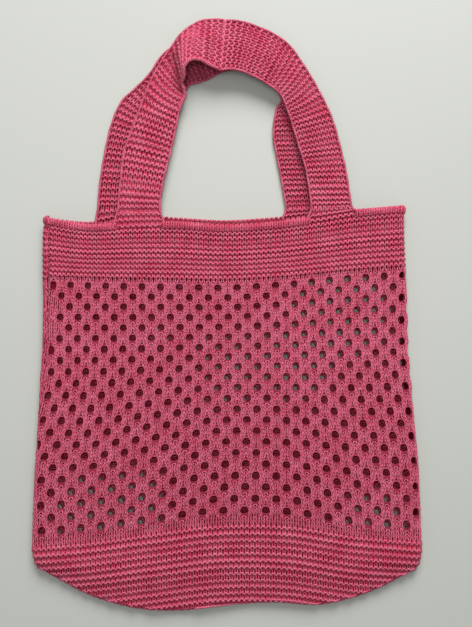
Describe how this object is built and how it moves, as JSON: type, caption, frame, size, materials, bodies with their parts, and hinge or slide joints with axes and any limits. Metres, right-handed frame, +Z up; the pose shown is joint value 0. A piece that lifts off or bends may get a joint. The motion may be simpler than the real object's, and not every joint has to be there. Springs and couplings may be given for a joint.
{
  "type": "knitted mesh tote bag",
  "caption": "Flat-lying knitted mesh tote bag with garter bands, an eyelet net body, a round bottom and wide shoulder straps.",
  "frame": {"origin": "middle of the bag's footprint, on the surface it lies on", "axes": "+Z up from the surface, +Y from the bottom of the bag towards its straps, +X to the right as seen from above"},
  "size_m": [0.392, 0.5908, 0.0231],
  "materials": {
    "panel_knit": "matt pink cotton yarn, garter bands and an eyelet net",
    "strap_knit": "matt pink cotton yarn, garter stitch"
  },
  "bodies": {
    "root": {"front_panel": "panel_knit", "back_panel": "panel_knit", "front_strap_left": "strap_knit", "front_strap_right": "strap_knit", "back_strap_left": "strap_knit", "back_strap_right": "strap_knit"}
  },
  "joints": []
}
